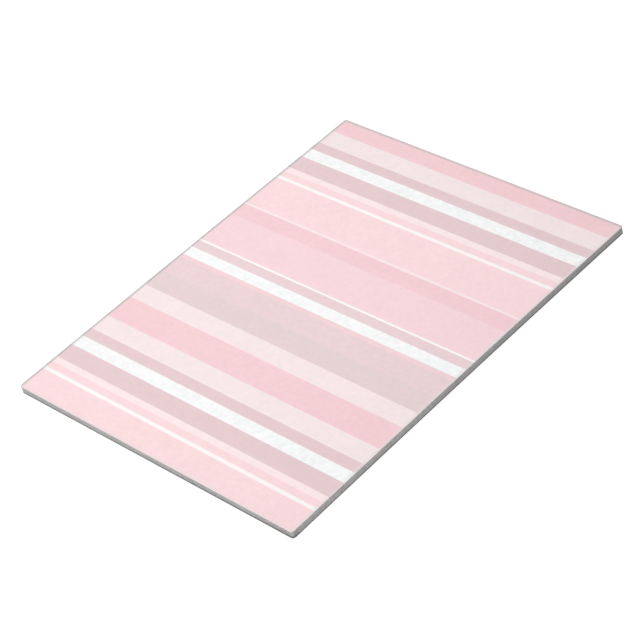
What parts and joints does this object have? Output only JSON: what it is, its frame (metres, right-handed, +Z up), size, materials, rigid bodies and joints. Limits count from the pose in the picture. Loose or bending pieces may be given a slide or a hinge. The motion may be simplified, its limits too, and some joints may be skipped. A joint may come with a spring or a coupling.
{
  "type": "notepad",
  "caption": "Flat glued notepad with a striped printed face, trimmed sheets, rounded corners and a thin board back, lying on its back.",
  "frame": {"origin": "on the underside of the board, at the middle of the pad's outline", "axes": "+Z up out of the printed face, +Y along the long sides towards the bound short edge, +X along the stripes to the right"},
  "size_m": [0.216, 0.2798, 0.0047],
  "materials": {
    "paper_sheets": "matt uncoated, printed with stripes",
    "greyboard": "bare grey chipboard",
    "padding_gum": "thin milky flexible film"
  },
  "bodies": {
    "root": {"page_block": "paper_sheets", "backing_board": "greyboard", "gum_binding": "padding_gum"}
  },
  "joints": []
}
